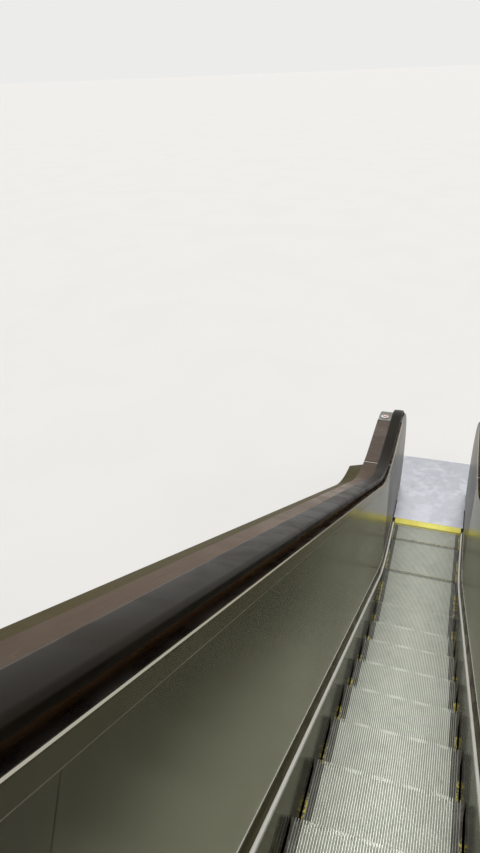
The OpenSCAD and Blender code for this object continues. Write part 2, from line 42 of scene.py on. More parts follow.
# Lines of the unit in metres: z 0 is the ground, y 0 the tips of the lower comb
line = {
    "slope": math.radians(30),
    "pitch": 0.405,
    "rises": 17,
    "combRun": 1.023,  # from the comb to the foot of the incline
    "floor": 0.050,
    "newelRun": 0.120,  # from the comb to where the newel turns down
    "skirtX": 0.280,
    "deckBends": (2.5, 0.5),  # radius of the lower and the upper bend
    "skirtBends": (1.3, 0.8),
    "skirtRise": 0.205,
}
halfBend = math.tan(line["slope"] / 2)
rise = line["rises"] * line["pitch"] * math.sin(line["slope"])
highZ = line["floor"] + rise
highCorner = line["combRun"] + rise / math.tan(line["slope"])
highComb = highCorner + line["combRun"]


# Points (y, z, angle) of a line at a height square to the nosings
def bentPath(height, y0, y1, bends, shift=0.0, cuts=16):
    points = [(y0, line["floor"] + height, 0.0)]
    corner = line["combRun"] - shift - height * halfBend
    radius = bends[0] - height
    for i in range(cuts + 1):
        a = line["slope"] * i / cuts
        points.append((corner - radius * halfBend + radius * math.sin(a),
                       line["floor"] + height + radius * (1 - math.cos(a)), a))
    corner = highCorner - shift - height * halfBend
    radius = bends[1] + height
    for i in range(cuts + 1):
        a = line["slope"] * (1 - i / cuts)
        points.append((corner + radius * halfBend - radius * math.sin(a),
                       highZ + height - radius * (1 - math.cos(a)), a))
    return points + [(y1, highZ + height, 0.0)]


def deckPath(height, y0, y1):
    return bentPath(height, y0, y1, line["deckBends"])


def skirtPath(height, y0, y1):
    shift = line["skirtRise"] / math.sin(line["slope"])
    return bentPath(height, y0, y1, line["skirtBends"], shift)


# The point (y, z, angle) of a path at a given y
def pathAt(path, y):
    for (ya, za, aa), (yb, zb, ab) in zip(path, path[1:]):
        if ya <= y <= yb and yb > ya:
            t = (y - ya) / (yb - ya)
            return y, za + (zb - za) * t, aa + (ab - aa) * t
    return path[-1]


# A mesh object from (verts, faces), or (verts, faces, material indices)
def newPiece(name, shape, materials, smooth=False):
    mesh = bpy.data.meshes.new(name)
    verts, faces, *indices = shape
    mesh.from_pydata(verts, [], faces)
    for material in materials:
        mesh.materials.append(material)
    if indices:
        mesh.polygons.foreach_set("material_index", indices[0])
    work = bmesh.new()
    work.from_mesh(mesh)
    bmesh.ops.recalc_face_normals(work, faces=work.faces)
    work.to_mesh(mesh)
    work.free()
    mesh.polygons.foreach_set("use_smooth", [smooth] * len(mesh.polygons))
    piece = bpy.data.objects.new(name, mesh)
    scene.collection.objects.link(piece)
    return piece


# Quads between rings of points, then a face on the first and the last ring
def ringFaces(rings, count):
    faces = []
    for r in range(rings - 1):
        for i in range(count):
            k = (i + 1) % count
            faces.append((r * count + i, r * count + k, (r + 1) * count + k, (r + 1) * count + i))
    return faces + [tuple(range(count)), tuple(range((rings - 1) * count, rings * count))]


# Points of a circle, or of a hexagon with as many points
def roundPoints(radius, count, hexed=False):
    points = []
    for i in range(count):
        a = 2 * math.pi * i / count
        reach = radius / math.cos((a % (math.pi / 3)) - math.pi / 6) if hexed else radius
        points.append((reach * math.cos(a), reach * math.sin(a)))
    return points


# A profile of (x, height) carried along a path
def sweep(path, profile, side=1):
    verts = [(side * x, y - h * math.sin(a), z + h * math.cos(a)) for y, z, a in path for x, h in profile]
    return verts, ringFaces(len(path), len(profile))


# An outline of (y, z) carried from one x to another
def prismShape(outline, x0, x1, index=0):
    verts = [(x, y, z) for x in (x0, x1) for y, z in outline]
    faces = ringFaces(2, len(outline))
    return verts, faces, [index] * len(faces)


def joinLists(parts):
    verts, faces, indices = [], [], []
    for ownVerts, ownFaces, *ownIndices in parts:
        start = len(verts)
        verts += ownVerts
        faces += [tuple(start + i for i in face) for face in ownFaces]
        indices += ownIndices[0] if ownIndices else [0] * len(ownFaces)
    return verts, faces, indices


screw = {
    "points": 24,
    "rings": ((1.0, -0.10, False), (0.97, 0.0, False), (0.50, 0.06, True), (0.50, -0.30, True)),
}


# Countersunk screw head with a hexagon socket, on a surface at a point
def screwHead(place, normal, radius):
    turn = Vector((0, 0, 1)).rotation_difference(Vector(normal)).to_matrix()
    count = screw["points"]
    verts = []
    for reach, up, hexed in screw["rings"]:
        for x, y in roundPoints(reach, count, hexed):
            verts.append(tuple(Vector(place) + turn @ (Vector((x, y, up)) * radius)))
    faces = ringFaces(len(screw["rings"]), count)
    faces.pop(-2)  # open below, where the surface hides it
    # The socket walls and floor take the second finish, nearly black: painted shade in the socket
    return verts, faces, [0] * (2 * count) + [1] * (count + 1)


print("stage: node groups")


def newGroup(name, inputs, outputs):
    tree = bpy.data.node_groups.new(name, "ShaderNodeTree")
    for label, value in inputs.items():
        kind = "NodeSocketVector" if isinstance(value, tuple) else "NodeSocketFloat"
        tree.interface.new_socket(label, in_out="INPUT", socket_type=kind).default_value = value
    for label in outputs:
        tree.interface.new_socket(label, in_out="OUTPUT", socket_type="NodeSocketFloat")
    return tree, tree.nodes.new("NodeGroupInput"), tree.nodes.new("NodeGroupOutput")


# Gives a node's inputs plain values, or links from other nodes
def feed(tree, node, inputs):
    for label, value in inputs.items():
        if isinstance(value, bpy.types.NodeSocket):
            tree.links.new(value, node.inputs[label])
        else:
            node.inputs[label].default_value = value
    return node


def addNode(tree, kind, inputs=None, **settings):
    node = tree.nodes.new("ShaderNode" + kind)
    for label, value in settings.items():
        setattr(node, label, value)
    return feed(tree, node, inputs or {})


# A map range node with smooth ends
def remap(tree, source, low, high, outLow=0.0, outHigh=1.0):
    inputs = {"Value": source, "From Min": low, "From Max": high, "To Min": outLow, "To Max": outHigh}
    return addNode(tree, "MapRange", inputs, interpolation_type="SMOOTHSTEP").outputs["Result"]


# One number from two, such as their product
def combine(tree, operation, a, b):
    return addNode(tree, "Math", {0: a, 1: b}, operation=operation).outputs["Value"]


def addNoise(tree, vector, scale, detail=2.0, distortion=0.0):
    inputs = {"Vector": vector, "Scale": scale, "Detail": detail, "Distortion": distortion}
    return addNode(tree, "TexNoise", inputs).outputs["Fac"]


# The object's own coordinates, turned by Tilt and then stretched
def stretchCoords(tree, entry, coords):
    turn = {"Vector": coords, "Angle": entry.outputs["Tilt"]}
    turned = addNode(tree, "VectorRotate", turn, rotation_type="X_AXIS").outputs["Vector"]
    stretch = {0: turned, 1: entry.outputs["Stretch"]}
    return addNode(tree, "VectorMath", stretch, operation="MULTIPLY").outputs["Vector"]


# Fine brushed lines; Tilt turns them along the incline
def makeGrain():
    tree, entry, out = newGroup("brushedGrain", {"Tilt": 0.0, "Stretch": (900.0, 7.0, 900.0)}, ["Grain"])
    coords = addNode(tree, "TexCoord").outputs["Object"]
    lines = addNoise(tree, stretchCoords(tree, entry, coords), 1.0, 3.0)
    tree.links.new(remap(tree, lines, 0.3, 0.7), out.inputs["Grain"])
    return tree


# Soft clouds left by cleaning and hands
def makeSmudges():
    tree, entry, out = newGroup("smudgeFilm", {"Scale": 4.0, "Low": 0.42, "High": 0.66}, ["Film"])
    coords = addNode(tree, "TexCoord").outputs["Object"]
    clouds = addNoise(tree, coords, entry.outputs["Scale"], 6.0, 0.6)
    film = remap(tree, clouds, entry.outputs["Low"], entry.outputs["High"])
    tree.links.new(film, out.inputs["Film"])
    return tree


# Thin broken scratches along the travel
def makeScratches():
    inputs = {"Tilt": 0.0, "Stretch": (110.0, 5.0, 110.0), "Width": 0.03}
    tree, entry, out = newGroup("rubScratches", inputs, ["Scratch"])
    coords = addNode(tree, "TexCoord").outputs["Object"]
    place = {"Vector": stretchCoords(tree, entry, coords), "Scale": 1.0}
    cells = addNode(tree, "TexVoronoi", place, feature="DISTANCE_TO_EDGE").outputs["Distance"]
    marks = remap(tree, cells, 0.0, entry.outputs["Width"], 1.0, 0.0)
    breaks = remap(tree, addNoise(tree, coords, 9.0), 0.5, 0.62)
    tree.links.new(combine(tree, "MULTIPLY", marks, breaks), out.inputs["Scratch"])
    return tree


# Dust that settles on faces that look up
def makeDust():
    tree, entry, out = newGroup("settledDust", {"Scale": 14.0, "Amount": 0.5}, ["Dust"])
    coords = addNode(tree, "TexCoord").outputs["Object"]
    normal = addNode(tree, "NewGeometry").outputs["Normal"]
    up = addNode(tree, "SeparateXYZ", {"Vector": normal}).outputs["Z"]
    clouds = addNoise(tree, coords, entry.outputs["Scale"], 8.0)
    flat = remap(tree, up, 0.2, 0.9)
    settled = combine(tree, "MULTIPLY", flat, remap(tree, clouds, 0.38, 0.7))
    dust = combine(tree, "MULTIPLY", settled, entry.outputs["Amount"])
    tree.links.new(dust, out.inputs["Dust"])
    return tree


grainGroup = makeGrain()
smudgeGroup = makeSmudges()
scratchGroup = makeScratches()
dustGroup = makeDust()


def useGroup(tree, group, **values):
    return addNode(tree, "Group", values, node_tree=group).outputs[0]


# Mixes two colours or two numbers by a mask
def mixBy(tree, mask, a, b, kind="RGBA"):
    slotA, slotB, result = (6, 7, 2) if kind == "RGBA" else (2, 3, 0)
    a, b = ((*value, 1.0) if isinstance(value, tuple) else value for value in (a, b))
    return addNode(tree, "Mix", {0: mask, slotA: a, slotB: b}, data_type=kind).outputs[result]


def newMaterial(name):
    material = bpy.data.materials.new(name)
    material.use_nodes = True
    return material, material.node_tree, material.node_tree.nodes["Principled BSDF"]


def addBump(tree, shader, height, strength, distance):
    bump = addNode(tree, "Bump", {"Height": height, "Strength": strength, "Distance": distance})
    feed(tree, shader, {"Normal": bump.outputs["Normal"]})


tilted = -line["slope"]
sheetCommon = {
    "tilt": tilted,
    "dust": 0.0,
    "dustColour": (0.30, 0.28, 0.25),
    "dustRough": 0.75,
    "metal": 1.0,
}


# Sheet metal: two colours by the film, roughness by grain and film
def makeSheetMetal(name, ownLook):
    look = {**sheetCommon, **ownLook}
    material, tree, shader = newMaterial(name)
    grain = useGroup(tree, grainGroup, Tilt=look["tilt"], Stretch=look["stretch"])
    film = useGroup(tree, smudgeGroup, Scale=look["filmScale"])
    scratch = useGroup(tree, scratchGroup, Tilt=look["tilt"], Width=look["scratchWidth"])
    dust = useGroup(tree, dustGroup, Amount=look["dust"])
    metal = mixBy(tree, film, look["colour"], look["worn"])
    lined = mixBy(tree, grain, metal, look["lineColour"])
    marked = mixBy(tree, scratch, lined, look["scratchColour"])
    colour = mixBy(tree, dust, marked, look["dustColour"])
    rough = mixBy(tree, grain, *look["rough"], "FLOAT")
    cloudy = mixBy(tree, film, rough, look["filmRough"], "FLOAT")
    rougher = mixBy(tree, dust, cloudy, look["dustRough"], "FLOAT")
    feed(tree, shader, {"Base Color": colour, "Roughness": rougher, "Metallic": look["metal"],
                        "Specular Tint": (*look["edge"], 1.0)})
    addBump(tree, shader, grain, look["bump"], distance=0.0002)
    return material


sheetLooks = {
    "panel": {
        "colour": (0.500, 0.490, 0.432), "worn": (0.520, 0.510, 0.450), "lineColour": (0.490, 0.480, 0.423),
        "scratchColour": (0.53, 0.52, 0.46), "edge": (0.68, 0.67, 0.59),
        "stretch": (700.0, 5.0, 700.0), "filmScale": 1.1, "scratchWidth": 0.002,
        "rough": (0.230, 0.245), "filmRough": 0.265, "bump": 0.006,
    },
    "newel": {
        "colour": (0.310, 0.303, 0.285), "worn": (0.340, 0.332, 0.312), "lineColour": (0.290, 0.283, 0.266),
        "scratchColour": (0.42, 0.41, 0.38), "edge": (0.60, 0.59, 0.57), "tilt": 0.0,
        "stretch": (700.0, 700.0, 6.0), "filmScale": 2.6, "scratchWidth": 0.010,
        "rough": (0.27, 0.33), "filmRough": 0.36, "bump": 0.05,
    },
    # Dark, warm brown, with a warm edge tint: a painted reflection of a dark hall and a brick wall in
    # polished steel
    "deck": {
        "colour": (0.128, 0.108, 0.096), "worn": (0.155, 0.132, 0.118), "lineColour": (0.112, 0.094, 0.084),
        "scratchColour": (0.17, 0.14, 0.12), "edge": (0.66, 0.58, 0.52),
        "stretch": (600.0, 4.0, 600.0), "filmScale": 5.0, "scratchWidth": 0.018, "dust": 0.05,
        "rough": (0.20, 0.28), "filmRough": 0.33, "bump": 0.05,
    },
    "ledge": {
        "colour": (0.125, 0.115, 0.088), "worn": (0.152, 0.140, 0.108), "lineColour": (0.108, 0.100, 0.077),
        "scratchColour": (0.24, 0.22, 0.17), "edge": (0.42, 0.38, 0.29),
        "stretch": (600.0, 4.0, 600.0), "filmScale": 4.0, "scratchWidth": 0.014, "dust": 0.06,
        "rough": (0.34, 0.42), "filmRough": 0.46, "bump": 0.06,
    },
    "skirt": {
        "colour": (0.140, 0.137, 0.112), "worn": (0.160, 0.157, 0.130), "lineColour": (0.126, 0.124, 0.101),
        "scratchColour": (0.28, 0.27, 0.23), "edge": (0.42, 0.41, 0.34),
        "stretch": (500.0, 4.0, 500.0), "filmScale": 3.0, "scratchWidth": 0.012,
        "rough": (0.06, 0.10), "filmRough": 0.13, "bump": 0.03,
    },
    "innerDeck": {
        "colour": (0.130, 0.125, 0.102), "worn": (0.160, 0.154, 0.126), "lineColour": (0.115, 0.111, 0.090),
        "scratchColour": (0.24, 0.23, 0.19), "edge": (0.46, 0.44, 0.37),
        "stretch": (500.0, 4.0, 500.0), "filmScale": 7.0, "scratchWidth": 0.016, "dust": 0.10,
        "rough": (0.18, 0.26), "filmRough": 0.32, "bump": 0.06,
    },
    # Near white and not metallic, so skirt trims, inner deck beads and deck joint strips read as bright
    # lines: a painted highlight on steel trim
    "paintedHighlightTrim": {
        "colour": (0.940, 0.930, 0.860), "worn": (0.970, 0.960, 0.900), "lineColour": (0.900, 0.890, 0.820),
        "scratchColour": (0.74, 0.72, 0.64), "edge": (1.0, 1.0, 1.0), "metal": 0.0,
        "stretch": (800.0, 6.0, 800.0), "filmScale": 6.0, "scratchWidth": 0.020,
        "rough": (0.30, 0.42), "filmRough": 0.48, "bump": 0.06,
    },
    "topTrim": {
        "colour": (0.510, 0.486, 0.410), "worn": (0.530, 0.506, 0.428), "lineColour": (0.500, 0.476, 0.402),
        "scratchColour": (0.54, 0.52, 0.44), "edge": (0.70, 0.67, 0.57),
        "stretch": (800.0, 6.0, 800.0), "filmScale": 3.0, "scratchWidth": 0.002,
        "rough": (0.240, 0.255), "filmRough": 0.27, "bump": 0.006,
    },
    "bead": {
        "colour": (0.230, 0.222, 0.186), "worn": (0.320, 0.310, 0.262), "lineColour": (0.200, 0.193, 0.162),
        "scratchColour": (0.30, 0.29, 0.24), "edge": (0.70, 0.68, 0.60), "metal": 0.40,
        "stretch": (800.0, 6.0, 800.0), "filmScale": 3.0, "scratchWidth": 0.020,
        "rough": (0.26, 0.36), "filmRough": 0.40, "bump": 0.05,
    },
    # Brown and fairly bright: a painted warm reflection of a brick wall, and painted light on a part that
    # sits in deep shade under the handrail
    "guide": {
        "colour": (0.420, 0.285, 0.150), "worn": (0.460, 0.320, 0.180), "lineColour": (0.380, 0.255, 0.132),
        "scratchColour": (0.50, 0.38, 0.23), "edge": (0.75, 0.58, 0.38), "metal": 0.60,
        "stretch": (600.0, 4.0, 600.0), "filmScale": 5.0, "scratchWidth": 0.014, "dust": 0.05,
        "rough": (0.30, 0.42), "filmRough": 0.48, "bump": 0.06,
    },
    "cladding": {
        "colour": (0.250, 0.236, 0.206), "worn": (0.290, 0.274, 0.242), "lineColour": (0.225, 0.212, 0.186),
        "scratchColour": (0.36, 0.35, 0.32), "edge": (0.48, 0.46, 0.42), "tilt": 0.0,
        "stretch": (500.0, 5.0, 500.0), "filmScale": 1.2, "scratchWidth": 0.008,
        "rough": (0.22, 0.32), "filmRough": 0.38, "bump": 0.08,
    },
    "coverBar": {
        "colour": (0.330, 0.312, 0.272), "worn": (0.370, 0.350, 0.308), "lineColour": (0.300, 0.284, 0.248),
        "scratchColour": (0.42, 0.40, 0.36), "edge": (0.56, 0.54, 0.49), "tilt": 0.0,
        "stretch": (500.0, 500.0, 5.0), "filmScale": 3.0, "scratchWidth": 0.008,
        "rough": (0.24, 0.34), "filmRough": 0.40, "bump": 0.08,
    },
    # Cool bluish tint: a painted reflection of cool ceiling lights in the aluminium plates
    "floorPlate": {
        "colour": (0.465, 0.474, 0.508), "worn": (0.485, 0.494, 0.528), "lineColour": (0.425, 0.436, 0.476),
        "scratchColour": (0.33, 0.335, 0.36), "edge": (0.66, 0.67, 0.70), "tilt": 0.0,
        "stretch": (6.0, 420.0, 420.0), "filmScale": 11.0, "scratchWidth": 0.024, "dust": 0.08,
        "rough": (0.28, 0.36), "filmRough": 0.39, "bump": 0.12,
    },
    "galvanised": {
        "colour": (0.270, 0.278, 0.286), "worn": (0.350, 0.356, 0.362), "lineColour": (0.240, 0.247, 0.254),
        "scratchColour": (0.30, 0.30, 0.31), "edge": (0.80, 0.80, 0.80), "tilt": 0.0,
        "stretch": (40.0, 40.0, 40.0), "filmScale": 22.0, "scratchWidth": 0.030, "dust": 0.40,
        "rough": (0.38, 0.52), "filmRough": 0.60, "bump": 0.18,
    },
    "darkSteel": {
        "colour": (0.095, 0.098, 0.102), "worn": (0.150, 0.150, 0.150), "lineColour": (0.080, 0.082, 0.086),
        "scratchColour": (0.26, 0.26, 0.26), "edge": (0.50, 0.50, 0.50),
        "stretch": (90.0, 60.0, 90.0), "filmScale": 12.0, "scratchWidth": 0.030, "dust": 0.50,
        "rough": (0.42, 0.58), "filmRough": 0.66, "bump": 0.14,
    },
    "screw": {
        "colour": (0.520, 0.520, 0.500), "worn": (0.640, 0.640, 0.620), "lineColour": (0.470, 0.470, 0.450),
        "scratchColour": (0.25, 0.25, 0.24), "edge": (0.90, 0.90, 0.90), "tilt": 0.0,
        "stretch": (1200.0, 1200.0, 1200.0), "filmScale": 90.0, "scratchWidth": 0.030, "dust": 0.20,
        "rough": (0.24, 0.38), "filmRough": 0.46, "bump": 0.10,
    },
}
sheetMetal = {name: makeSheetMetal(name + "Steel", look) for name, look in sheetLooks.items()}


# Cast aluminium of the cleats: bright worn crests over dark grooves
castLooks = {
    "crest": {
        "clean": (0.610, 0.630, 0.546), "dirty": (0.540, 0.558, 0.480), "scratched": (0.80, 0.81, 0.74),
        "rough": (0.42, 0.54), "metal": 0.50,
    },
    "nose": {
        "clean": (0.650, 0.665, 0.590), "dirty": (0.620, 0.634, 0.560), "scratched": (0.76, 0.77, 0.70),
        "rough": (0.48, 0.58), "metal": 0.50,
    },
    "groove": {
        "clean": (0.320, 0.333, 0.280), "dirty": (0.230, 0.240, 0.198), "scratched": (0.42, 0.43, 0.38),
        "rough": (0.50, 0.68), "metal": 0.40,
    },
    "edge": {
        "clean": (0.050, 0.045, 0.038), "dirty": (0.026, 0.023, 0.020), "scratched": (0.24, 0.24, 0.22),
        "rough": (0.40, 0.60), "metal": 0.50,
    },
}


def makeCast(name, look):
    material, tree, shader = newMaterial(name)
    film = useGroup(tree, smudgeGroup, Scale=14.0, Low=0.40, High=0.80)
    fine = useGroup(tree, smudgeGroup, Scale=160.0)
    scratch = useGroup(tree, scratchGroup, Stretch=(420.0, 30.0, 420.0), Width=0.05)
    base = mixBy(tree, film, look["clean"], look["dirty"])
    speckled = mixBy(tree, fine, base, look["clean"])
    colour = mixBy(tree, scratch, speckled, look["scratched"])
    rough = mixBy(tree, fine, *look["rough"], "FLOAT")
    feed(tree, shader, {"Base Color": colour, "Roughness": rough, "Metallic": look["metal"]})
    addBump(tree, shader, fine, strength=0.15, distance=0.0004)
    return material


cast = {name: makeCast("cast" + name.capitalize(), look) for name, look in castLooks.items()}


# Worn paint over metal
paintLooks = {
    "combYellow": {
        "colour": (0.980, 0.930, 0.150), "faded": (0.960, 0.830, 0.090), "bare": (0.60, 0.56, 0.34),
        "wear": (0.66, 0.71), "rough": (0.40, 0.55),
    },
    "stepYellow": {
        "colour": (0.860, 0.720, 0.060), "faded": (0.560, 0.450, 0.060), "bare": (0.14, 0.13, 0.10),
        "wear": (0.46, 0.51), "rough": (0.50, 0.65),
    },
}


def makePaint(name, look):
    material, tree, shader = newMaterial(name)
    cloud = useGroup(tree, smudgeGroup, Scale=11.0)
    chips = useGroup(tree, smudgeGroup, Scale=70.0, Low=look["wear"][0], High=look["wear"][1])
    scratch = useGroup(tree, scratchGroup, Stretch=(260.0, 24.0, 260.0), Width=0.03)
    coat = mixBy(tree, cloud, look["colour"], look["faded"])
    chipped = mixBy(tree, chips, coat, look["bare"])
    colour = mixBy(tree, scratch, chipped, look["bare"])
    feed(tree, shader, {"Base Color": colour, "Roughness": mixBy(tree, cloud, *look["rough"], "FLOAT")})
    addBump(tree, shader, chips, strength=0.2, distance=0.0003)
    return material


paint = {name: makePaint(name, look) for name, look in paintLooks.items()}


# Rubber and plastic, with a dull film where hands don't polish it; on the handrail both colours carry a
# brown tint, a painted warm reflection
mouldedLooks = {
    # Black rubber; the brown tint of colour and film is a painted warm reflection
    "handrailRubber": {
        "colour": (0.0105, 0.0082, 0.0052), "film": (0.015, 0.0120, 0.0078), "rough": (0.34, 0.44),
        "gloss": 0.05, "coat": 0.02, "coatRough": 0.10,
    },
    "inletRubber": {
        "colour": (0.020, 0.020, 0.020), "film": (0.050, 0.048, 0.046), "rough": (0.50, 0.70),
        "gloss": 0.30, "coat": 0.0, "coatRough": 0.3,
    },
    "collarPlastic": {
        "colour": (0.900, 0.890, 0.860), "film": (0.800, 0.790, 0.760), "rough": (0.28, 0.45),
        "gloss": 0.50, "coat": 0.2, "coatRough": 0.2,
    },
    "buttonPlastic": {
        "colour": (0.600, 0.030, 0.020), "film": (0.460, 0.040, 0.030), "rough": (0.22, 0.36),
        "gloss": 0.50, "coat": 0.5, "coatRough": 0.1,
    },
}


def makeMoulded(name, look):
    material, tree, shader = newMaterial(name)
    film = useGroup(tree, smudgeGroup, Scale=8.0)
    fine = useGroup(tree, smudgeGroup, Scale=220.0)
    scratch = useGroup(tree, scratchGroup, Tilt=tilted, Stretch=(260.0, 8.0, 260.0), Width=0.02)
    base = mixBy(tree, film, look["colour"], look["film"])
    colour = mixBy(tree, scratch, base, look["film"])
    rough = mixBy(tree, film, *look["rough"], "FLOAT")
    rougher = mixBy(tree, scratch, rough, 0.6, "FLOAT")
    feed(tree, shader, {"Base Color": colour, "Roughness": rougher, "Specular IOR Level": look["gloss"],
                        "Coat Weight": look["coat"], "Coat Roughness": look["coatRough"]})
    addBump(tree, shader, fine, strength=0.08, distance=0.0002)
    return material


moulded = {name: makeMoulded(name, look) for name, look in mouldedLooks.items()}


# Nearly black gap and joint filler, also the painted shade inside the screw sockets
def makeShadowGap():
    material, tree, shader = newMaterial("jointGapAndSocketShade")
    film = useGroup(tree, smudgeGroup, Scale=40.0)
    grime = mixBy(tree, film, (0.012, 0.012, 0.011), (0.035, 0.033, 0.030))
    feed(tree, shader, {"Base Color": grime, "Roughness": 0.8})
    return material


jointGapAndSocketShade = makeShadowGap()
screwFinish = [sheetMetal["screw"], jointGapAndSocketShade]

print("stage: CAD nodes")
nodeLooks = {
    "base_pan": "galvanised", "upper_floor_frame": "galvanised", "upper_bearing": "galvanised",
    "lower_landing_plate": "floorPlate", "upper_landing_plate": "floorPlate",
    "lower_comb_plate": "floorPlate", "upper_comb_plate": "floorPlate",
    "step_tracks": "darkSteel", "truss_frames": "darkSteel",
    "soffit": "cladding", "upper_end_plate": "cladding",
}
sideLooks = {
    "skirt": "skirt", "skirt_trim": "paintedHighlightTrim", "inner_deck": "innerDeck", "inner_panels": "panel",
    "top_trim": "topTrim", "outer_deck": "deck", "outer_ledge": "ledge", "handrail_guide": "guide",
    "lower_newel": "newel", "upper_newel": "newel", "cladding": "cladding",
}


def dressNode(name, material):
    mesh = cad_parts[name].data
    mesh.materials.clear()
    mesh.materials.append(material)


for name, look in nodeLooks.items():
    dressNode(name, sheetMetal[look])
for name, look in sideLooks.items():
    for side in ("_left", "_right"):
        dressNode(name + side, sheetMetal[look])
dressNode("handrail_inlets", moulded["inletRubber"])
dressNode("stop_collars", moulded["collarPlastic"])
dressNode("stop_buttons", moulded["buttonPlastic"])

print("stage: steps")
step = {
    "width": 0.552,
    "tread": 0.400,
    "cleats": 61,
    "cleatWidth": 0.0042,
    "cleatHeight": 0.009,
    "skin": 0.008,
    "riser": 0.2205,
    "bendRadius": 1.0,
    "drop": 0.008,  # treads below the floor plates
    "phase": 0.140,  # where the band stands still
    "yellowRear": 0.010,
    "yellowRows": 3,
    "panTop": 0.0204,
    # The outermost cleat near black, the next three with near-black grooves: darker along both sides of
    # each tread
    "darkCleats": 1,
    "darkGrooves": 4,
    "cleatEdge": ((0.0, 1.0), (0.0004, 0.10), (0.0010, 0.0)),
    "treadRows": (0.27, 0.14, 0.02),
    "noseRows": (((0.0030, 0.0), (0.0105, 0.0), (0.0190, 0.0)),
                 ((0.0009, -0.0009), (0.0098, -0.0006), (0.0183, 0.0)),
                 ((0.0, -0.0030), (0.0090, -0.0020), (0.0170, -0.0010))),
    "riserTop": 0.014,
    "leastRiser": 0.018,
    "shallow": 0.1,
    "riserCuts": (3, 9),  # on a shallow riser and on a full one
    "innerRadius": 0.1,
    "noseFaces": (6, 7),
    "groups": {"lower_steps": (-4, 0), "incline_steps_low": (1, 6), "incline_steps_high": (7, 13),
               "upper_steps": (14, 18)},
}
stepMaterials = {"crest": cast["crest"], "groove": cast["groove"], "yellow": paint["stepYellow"],
                 "roller": moulded["inletRubber"], "nose": cast["nose"], "edge": cast["edge"]}
mark = {name: i for i, name in enumerate(stepMaterials)}
cleatPitch = (step["width"] - step["cleatWidth"]) / (step["cleats"] - 1)
lowStepCorner = line["combRun"] - step["drop"] / math.tan(line["slope"])
highStepCorner = highCorner - step["drop"] / math.tan(line["slope"])
stepTangent = step["bendRadius"] * halfBend
bendLength = step["bendRadius"] * line["slope"]
inclineLength = (highStepCorner - lowStepCorner) / math.cos(line["slope"]) - 2 * stepTangent


# Place (y, z) of the nosing of step n
def nosing(n):
    s = step["phase"] + n * line["pitch"]
    low, high, r = line["floor"] - step["drop"], highZ - step["drop"], step["bendRadius"]
    if s > inclineLength + bendLength:
        return highStepCorner + stepTangent + s - inclineLength - bendLength, high
    if s > inclineLength:
        a = line["slope"] - (s - inclineLength) / r
        return highStepCorner + stepTangent - r * math.sin(a), high - r * (1 - math.cos(a))
    if s > 0:
        reach = stepTangent + s
        return lowStepCorner + reach * math.cos(line["slope"]), low + reach * math.sin(line["slope"])
    if s > -bendLength:
        a = line["slope"] + s / r
        return lowStepCorner - stepTangent + r * math.sin(a), low + r * (1 - math.cos(a))
    return lowStepCorner - stepTangent + s + bendLength, low


# Side outlines of a step from the tread's rear to the riser's foot: crest, groove floor, inside
def stepRows(depth):
    g, t, r = step["cleatHeight"], step["skin"], step["tread"]
    rows = [((y, 0.0), (y, -g), (y, -g - t)) for y in (r, r - step["yellowRear"], *step["treadRows"])]
    for crest, floor, inner in step["noseRows"]:
        rows.append((crest, (floor[0], floor[1] - g), (inner[0], inner[1] - g - t)))
    start = math.asin(step["riserTop"] / r)
    end = math.asin(max(depth, step["leastRiser"]) / r)
    radii = (r, r - g, max(r - g - t, step["innerRadius"]))
    cuts = step["riserCuts"][depth > step["shallow"]]
    for i in range(cuts + 1):
        a = start + (end - start) * i / cuts
        rows.append(tuple((r - radius * math.cos(a), -radius * math.sin(a)) for radius in radii))
    return rows


# What a face of the step shows, by its row, its column and whether it is a cleat's crest
def stepMark(row, fromEdge, crest):
    if crest and row <= 1 or fromEdge == 0 and row <= step["yellowRows"]:
        return mark["yellow"]
    if fromEdge < step["darkGrooves"]:
        return mark["groove"] if crest and fromEdge >= step["darkCleats"] else mark["edge"]
    if not crest:
        return mark["groove"]
    return mark["nose"] if row in step["noseFaces"] else mark["crest"]


def stepShape(n):
    y0, z0 = nosing(n)
    rows = stepRows(min(step["riser"], z0 - step["panTop"]))
    half, edge = step["width"] / 2, step["cleatEdge"]
    columns = []
    for i in range(step["cleats"]):
        x = -half + i * cleatPitch
        columns += [(x + across, sunk) for across, sunk in edge]
        columns += [(x + step["cleatWidth"] - across, sunk) for across, sunk in reversed(edge)]
    count, perCleat = len(columns), 2 * len(edge)
    verts = [(x, y0 + step["tread"], z0 + rows[0][2][1]) for x, _ in columns]
    for crest, floor, _ in rows:
        verts += [(x, y0 + crest[0] + (floor[0] - crest[0]) * f, z0 + crest[1] + (floor[1] - crest[1]) * f)
                  for x, f in columns]
    faces, indices = [], []
    for r in range(len(rows)):
        for c in range(count - 1):
            a = r * count + c
            faces.append((a, a + 1, a + count + 1, a + count))
            indices.append(stepMark(r, min(c, count - 2 - c) // perCleat, c % perCleat in (1, 2, 3)))
    # Inside skin and the two side edges
    for crest, floor, inner in rows:
        verts += [(x, y0 + inner[0], z0 + inner[1]) for x in (-half, half)]
    base = (len(rows) + 1) * count
    for r in range(len(rows) - 1):
        a = base + 2 * r
        faces.append((a, a + 1, a + 3, a + 2))
        faces.append(((r + 1) * count, (r + 2) * count, a + 2, a))
        faces.append(((r + 2) * count - 1, (r + 3) * count - 1, a + 3, a + 1))
        indices += [mark["groove"], mark["edge"], mark["edge"]]
    return verts, faces, indices


